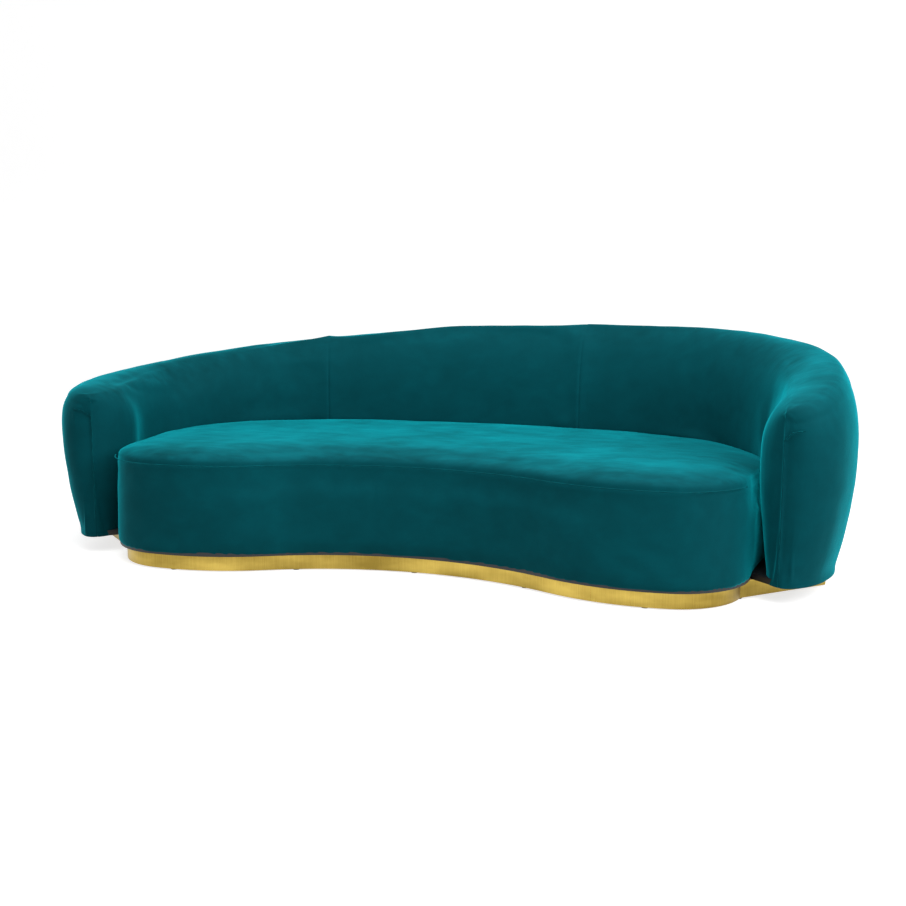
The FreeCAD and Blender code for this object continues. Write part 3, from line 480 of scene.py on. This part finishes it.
class SOFA_OT_back(bpy.types.Operator):
    """Padded back and arms in velvet, with the seams of its panels"""
    bl_idname = "sofa.back"
    bl_label = "Back and arms"

    def execute(self, context):
        props = context.scene.sofa_velvet
        columns = set()
        count = 110
        for i in range(-count, count + 1):
            columns.add(round(i / count * 0.93, 5))
        for i in range(1, 27):
            t = i / 26
            columns.add(round(0.93 + 0.07 * (1 - (1 - t) ** 1.9), 5))
            columns.add(-round(0.93 + 0.07 * (1 - (1 - t) ** 1.9), 5))
        seams = []
        for target in SEAMS:
            low, high = -0.6, 0.6
            for _ in range(40):
                mid = (low + high) / 2
                low, high = (mid, high) if section(mid, 0.27).x < target else (low, mid)
            seams.append(low)
            columns = {c for c in columns if abs(c - low) > 0.0075}
            for d in (-0.006, -0.0034, -0.0017, 0.0, 0.0017, 0.0034, 0.006):
                columns.add(low + d)
        columns = sorted(columns)
        rows = [j / SECTION_ROWS for j in range(SECTION_ROWS + 1)]
        verts = []
        for s in columns:
            for v in rows:
                verts.append(section(s, v))
        width = len(rows)
        faces = []
        for i in range(len(columns) - 1):
            for j in range(width - 1):
                a = i * width + j
                faces.append((a, a + 1, a + width + 1, a + width))
        obj = mesh_object("back_and_arms_velvet", verts, faces)
        ends = [i * width + j for i in (0, len(columns) - 1) for j in range(width)]
        feet = [i * width + j for i in range(len(columns)) for j in (0, width - 1)]
        sewn = set(ends + feet)
        for i, s in enumerate(columns):
            if any(abs(s - k) < 1e-6 for k in seams):
                sewn.update(i * width + j for j in range(width // 2))
        settle_cloth(obj, sorted(sewn), 3.0, props.swell)
        normals = [v.normal.copy() for v in obj.data.vertices]
        outward = 1.0 if normals[(len(columns) // 2) * width + width // 2].z > 0 else -1.0
        for i, s in enumerate(columns):
            near = min(abs(s - k) for k in seams) * LENGTH
            for j in range(width):
                index = i * width + j
                vertex = obj.data.vertices[index]
                push = 0.0
                if j < width * 0.47:
                    fade = min(1.0, (width * 0.47 - j) / 12)
                    push -= props.seam_depth * fade * math.exp(-(near / 0.0045) ** 2)
                ridge = abs(j - int(width * 0.63))
                if fullness(s) > 0.3:
                    push -= 0.0022 * math.exp(-(ridge / 0.7) ** 2)
                push += 0.0022 * wave(vertex.co, 0.16, 3.1) + 0.0012 * wave(vertex.co, 0.06, 9.0)
                vertex.co += normals[index] * outward * push
        obj.data.update()
        smooth = obj.modifiers.new("Surface", "SUBSURF")
        smooth.levels = smooth.render_levels = 1
        finish_piece(obj, "teal_velvet",
                     ["inside_back_foam", "outside_padding", "outside_back_cover", "inside_cover_left",
                      "inside_cover_centre", "inside_cover_right"])
        return {"FINISHED"}


class SOFA_OT_seat(bpy.types.Operator):
    """Tight seat with a crowned top and an upright front band, in velvet"""
    bl_idname = "sofa.seat"
    bl_label = "Seat"

    def execute(self, context):
        props = context.scene.sofa_velvet
        levels = [(0.0, 0.0565), (0.0, 0.075), (0.0, 0.12), (0.0, 0.18), (0.0, 0.24), (0.0, 0.29),
                  (0.0, 0.325), (0.0, SHOULDER)]
        for degrees in (15, 30, 45, 60, 75, 90):
            turn = math.radians(degrees)
            levels.append((EDGE_ROUND * (1 - math.cos(turn)), SHOULDER + EDGE_ROUND * math.sin(turn)))
        for part in (0.12, 0.3, 0.5, 0.75, 1.0):
            levels.append((EDGE_ROUND + 0.165 * part, 0.375 + 0.015 * part * (2 - part)))
        rings = [[Vector((p.x, p.y, z)) for p in seat_line(d)] for d, z in levels]
        count = min(len(r) for r in rings)
        verts, faces = [], []
        even = []
        for ring in rings:
            total = [0.0]
            closed = ring + ring[:1]
            for p, q in zip(closed, closed[1:]):
                total.append(total[-1] + (q - p).length)
            line, k = [], 0
            for i in range(count):
                target = total[-1] * i / count
                while total[k + 1] < target:
                    k += 1
                f = (target - total[k]) / max(total[k + 1] - total[k], 1e-9)
                line.append(closed[k].lerp(closed[k + 1], f))
            even.append(line)
        for line in even:
            verts += line
        for r in range(len(even) - 1):
            for i in range(count):
                a, b = r * count + i, r * count + (i + 1) % count
                faces.append((a, b, b + count, a + count))
        faces.append(tuple(range(count - 1, -1, -1)))
        last = (len(even) - 1) * count
        faces.append(tuple(range(last, last + count)))
        obj = mesh_object("seat_velvet", verts, faces)
        only(obj)
        obj.data.remesh_voxel_size = 0.012
        obj.data.remesh_voxel_adaptivity = 0.0
        bpy.ops.object.voxel_remesh()
        relax(obj, 0.5, 4)
        pinned = [v.index for v in obj.data.vertices if v.co.z < 0.085]
        settle_cloth(obj, pinned, 4.0, props.swell)
        relax(obj, 0.5, 2)
        for vertex in obj.data.vertices:
            near = abs(vertex.co.z - SHOULDER)
            push = -props.seam_depth * 0.8 * math.exp(-(near / 0.007) ** 2)
            push += 0.0028 * wave(vertex.co, 0.2, 1.7) + 0.0014 * wave(vertex.co, 0.07, 5.0)
            vertex.co += vertex.normal * push
        obj.data.update()
        obj.data.shade_smooth()
        finish_piece(obj, "teal_velvet",
                     ["seat_foam", "seat_wadding", "seat_border_pad", "seat_top_cover", "seat_front_cover"])
        return {"FINISHED"}


def cord(path, radius, lay):
    """Vertices and faces of a lightly twisted round cord along a path."""
    verts, faces = [], []
    sides = 8
    for i, p in enumerate(path):
        along = (path[min(i + 1, len(path) - 1)] - path[max(i - 1, 0)]).normalized()
        up = Vector((0, 0, 1)) if abs(along.z) < 0.8 else Vector((0, 1, 0))
        out = along.cross(up).normalized()
        up = out.cross(along)
        for k in range(sides):
            angle = 2 * math.pi * k / sides + i * lay
            r = radius * (1 + 0.1 * math.cos(3 * angle))
            verts.append(p + out * r * math.cos(angle) + up * r * math.sin(angle))
    for i in range(len(path) - 1):
        for k in range(sides):
            a, b = i * sides + k, i * sides + (k + 1) % sides
            faces.append((a, b, b + sides, a + sides))
    faces.append(tuple(range(sides)))
    faces.append(tuple(range(len(verts) - 1, len(verts) - 1 - sides, -1)))
    return verts, faces


class SOFA_OT_seam(bpy.types.Operator):
    """Fine cord in the seam round the top front edge of the seat"""
    bl_idname = "sofa.seam"
    bl_label = "Seat edge seam"

    def execute(self, context):
        path = [Vector((x, y - HALF_DEPTH, SHOULDER)) for x, y in front_line(-0.0002, 0.006)][16:-16]
        obj = mesh_object("seat_edge_cord", *cord(path, 0.0017, 0.9))
        finish_piece(obj, "seam_cord", ["seat_edge_seam"])
        return {"FINISHED"}


class SOFA_OT_tips(bpy.types.Operator):
    """Seams that run up the tips of both arms and turn over to the outside"""
    bl_idname = "sofa.tips"
    bl_label = "Arm tip seams"

    def execute(self, context):
        verts, faces = [], []
        for side in (-1, 1):
            path = []
            for i in range(91):
                t = i / 90
                v = 1.0 - 0.34 * min(t / 0.86, 1.0)
                turn = max((t - 0.80) / 0.20, 0.0)
                s = side * (1.0 - 0.0105 * turn ** 1.6)
                path.append(section(s, v))
            more, quads = cord(path, 0.0017, 0.9)
            quads = [tuple(k + len(verts) for k in quad) for quad in quads]
            verts += more
            faces += quads
        obj = mesh_object("arm_tip_cords", verts, faces)
        finish_piece(obj, "seam_cord", ["arm_tip_seams"])
        return {"FINISHED"}


class SOFA_OT_carried(bpy.types.Operator):
    """Finishes for the parts that are carried over from the construction: plinth, timber, springs"""
    bl_idname = "sofa.carried"
    bl_label = "Plinth and inside parts"

    def execute(self, context):
        slots = {p["node"]: p["material_slot"] for p in frame["record"]["subparts"]}
        for name, obj in NODES.items():
            slot = slots[name]
            obj.data.materials.clear()
            obj.data.materials.append(MATERIALS[slot])
        return {"FINISHED"}


class SOFA_OT_stage(bpy.types.Operator):
    """Plain white floor and backdrop, soft studio light and the photo's camera"""
    bl_idname = "sofa.stage"
    bl_label = "Studio"

    def execute(self, context):
        scene = context.scene
        props = scene.sofa_stage
        profile = [(-9.0, 0.0), (5.0, 0.0)]
        profile += [(5.0 + 2.0 * math.sin(a * math.pi / 16), 2.0 - 2.0 * math.cos(a * math.pi / 16))
                    for a in range(1, 8)]
        profile += [(7.0, 2.0), (7.0, 8.0)]
        verts = [(x, y, z) for y, z in profile for x in (-12.0, 12.0)]
        faces = [(2 * i, 2 * i + 1, 2 * i + 3, 2 * i + 2) for i in range(len(profile) - 1)]
        floor = mesh_object("studio_floor", verts, faces)
        g = Graph("Paper backdrop, white")
        paper = g.noise(g.coords(), 2.0)
        colour = list(props.floor_colour)
        g.put("Base Color", g.ramp(paper, [(0.0, [c * 0.99 for c in colour] + [1]), (1.0, colour + [1])]))
        g.shader.inputs["Roughness"].default_value = 0.9
        g.shader.inputs["Specular IOR Level"].default_value = 0.1
        # the studio sweep is lit to paper white for the eye and the metal; it throws no extra light
        rays = g.add("ShaderNodeLightPath")
        seen = g.maths("MAXIMUM", rays.outputs["Is Camera Ray"], rays.outputs["Is Glossy Ray"])
        g.put("Emission Strength", g.maths("MULTIPLY", seen, props.sweep_light))
        g.shader.inputs["Emission Color"].default_value = (1, 1, 1, 1)
        floor.data.materials.append(g.material)
        world = bpy.data.worlds.new("Studio")
        scene.world = world
        world.use_nodes = True
        tree = world.node_tree
        tree.nodes.clear()
        output = tree.nodes.new("ShaderNodeOutputWorld")
        back = tree.nodes.new("ShaderNodeBackground")
        seen = tree.nodes.new("ShaderNodeBackground")
        back.inputs["Color"].default_value = (1, 1, 1, 1)
        back.inputs["Strength"].default_value = 0.5
        seen.inputs["Color"].default_value = (1, 1, 1, 1)
        seen.inputs["Strength"].default_value = 1.0
        mix = tree.nodes.new("ShaderNodeMixShader")
        path = tree.nodes.new("ShaderNodeLightPath")
        tree.links.new(path.outputs["Is Camera Ray"], mix.inputs[0])
        tree.links.new(back.outputs[0], mix.inputs[1])
        tree.links.new(seen.outputs[0], mix.inputs[2])
        tree.links.new(mix.outputs[0], output.inputs["Surface"])
        for name, place, aim, size, power in (
                ("key", (0.5, -0.9, 3.4), (0.0, 0.1, 0.3), 3.2, props.key_strength),
                ("left", (-3.6, -1.4, 2.0), (-0.2, 0.0, 0.4), 2.2, props.key_strength * 0.08),
                ("right", (3.4, -1.6, 2.4), (-0.6, 0.1, 0.4), 2.0, props.key_strength * 0.75)):
            data = bpy.data.lights.new(name, "AREA")
            data.energy = power
            data.size = size
            light = bpy.data.objects.new(name, data)
            light.location = place
            light.rotation_euler = (Vector(aim) - Vector(place)).to_track_quat("-Z", "Y").to_euler()
            scene.collection.objects.link(light)
        data = bpy.data.cameras.new("photo_camera")
        camera = bpy.data.objects.new("photo_camera", data)
        scene.collection.objects.link(camera)
        yaw, pitch = math.radians(-16.83), math.radians(8.97)
        camera.location = (1.187, -3.275 - HALF_DEPTH, 0.970)
        aim = Vector((math.sin(yaw) * math.cos(pitch), math.cos(yaw) * math.cos(pitch), -math.sin(pitch)))
        camera.rotation_euler = aim.to_track_quat("-Z", "Y").to_euler()
        data.sensor_width = 36.0
        data.lens = 1186.0 / 906.0 * 36.0
        data.clip_end = 100.0
        scene.camera = camera
        scene.view_settings.view_transform = "Standard"
        return {"FINISHED"}


class SOFA_PT_panel(bpy.types.Panel):
    """Lists the steps that build the sofa"""
    bl_idname = "SOFA_PT_panel"
    bl_label = "Curved sofa"
    bl_space_type = "VIEW_3D"
    bl_region_type = "UI"
    bl_category = "Curved sofa"

    def draw(self, context):
        layout = self.layout
        for group in (context.scene.sofa_velvet, context.scene.sofa_stage):
            for key in group.bl_rna.properties.keys():
                if key not in ("rna_type", "name"):
                    layout.prop(group, key)
        for step in STEPS:
            layout.operator(step.bl_idname)


STEPS = (SOFA_OT_back, SOFA_OT_seat, SOFA_OT_seam, SOFA_OT_tips, SOFA_OT_carried, SOFA_OT_stage)
CLASSES = (SofaVelvet, SofaStage) + STEPS + (SOFA_PT_panel,)


def register():
    for cls in CLASSES:
        bpy.utils.register_class(cls)
    bpy.types.Scene.sofa_velvet = PointerProperty(type=SofaVelvet)
    bpy.types.Scene.sofa_stage = PointerProperty(type=SofaStage)


def unregister():
    del bpy.types.Scene.sofa_velvet
    del bpy.types.Scene.sofa_stage
    for cls in reversed(CLASSES):
        bpy.utils.unregister_class(cls)


def main():
    register()
    make_materials()
    bpy.ops.sofa.back()
    bpy.ops.sofa.seat()
    bpy.ops.sofa.seam()
    bpy.ops.sofa.tips()
    bpy.ops.sofa.carried()
    bpy.ops.sofa.stage()


if __name__ == "__main__":
    main()
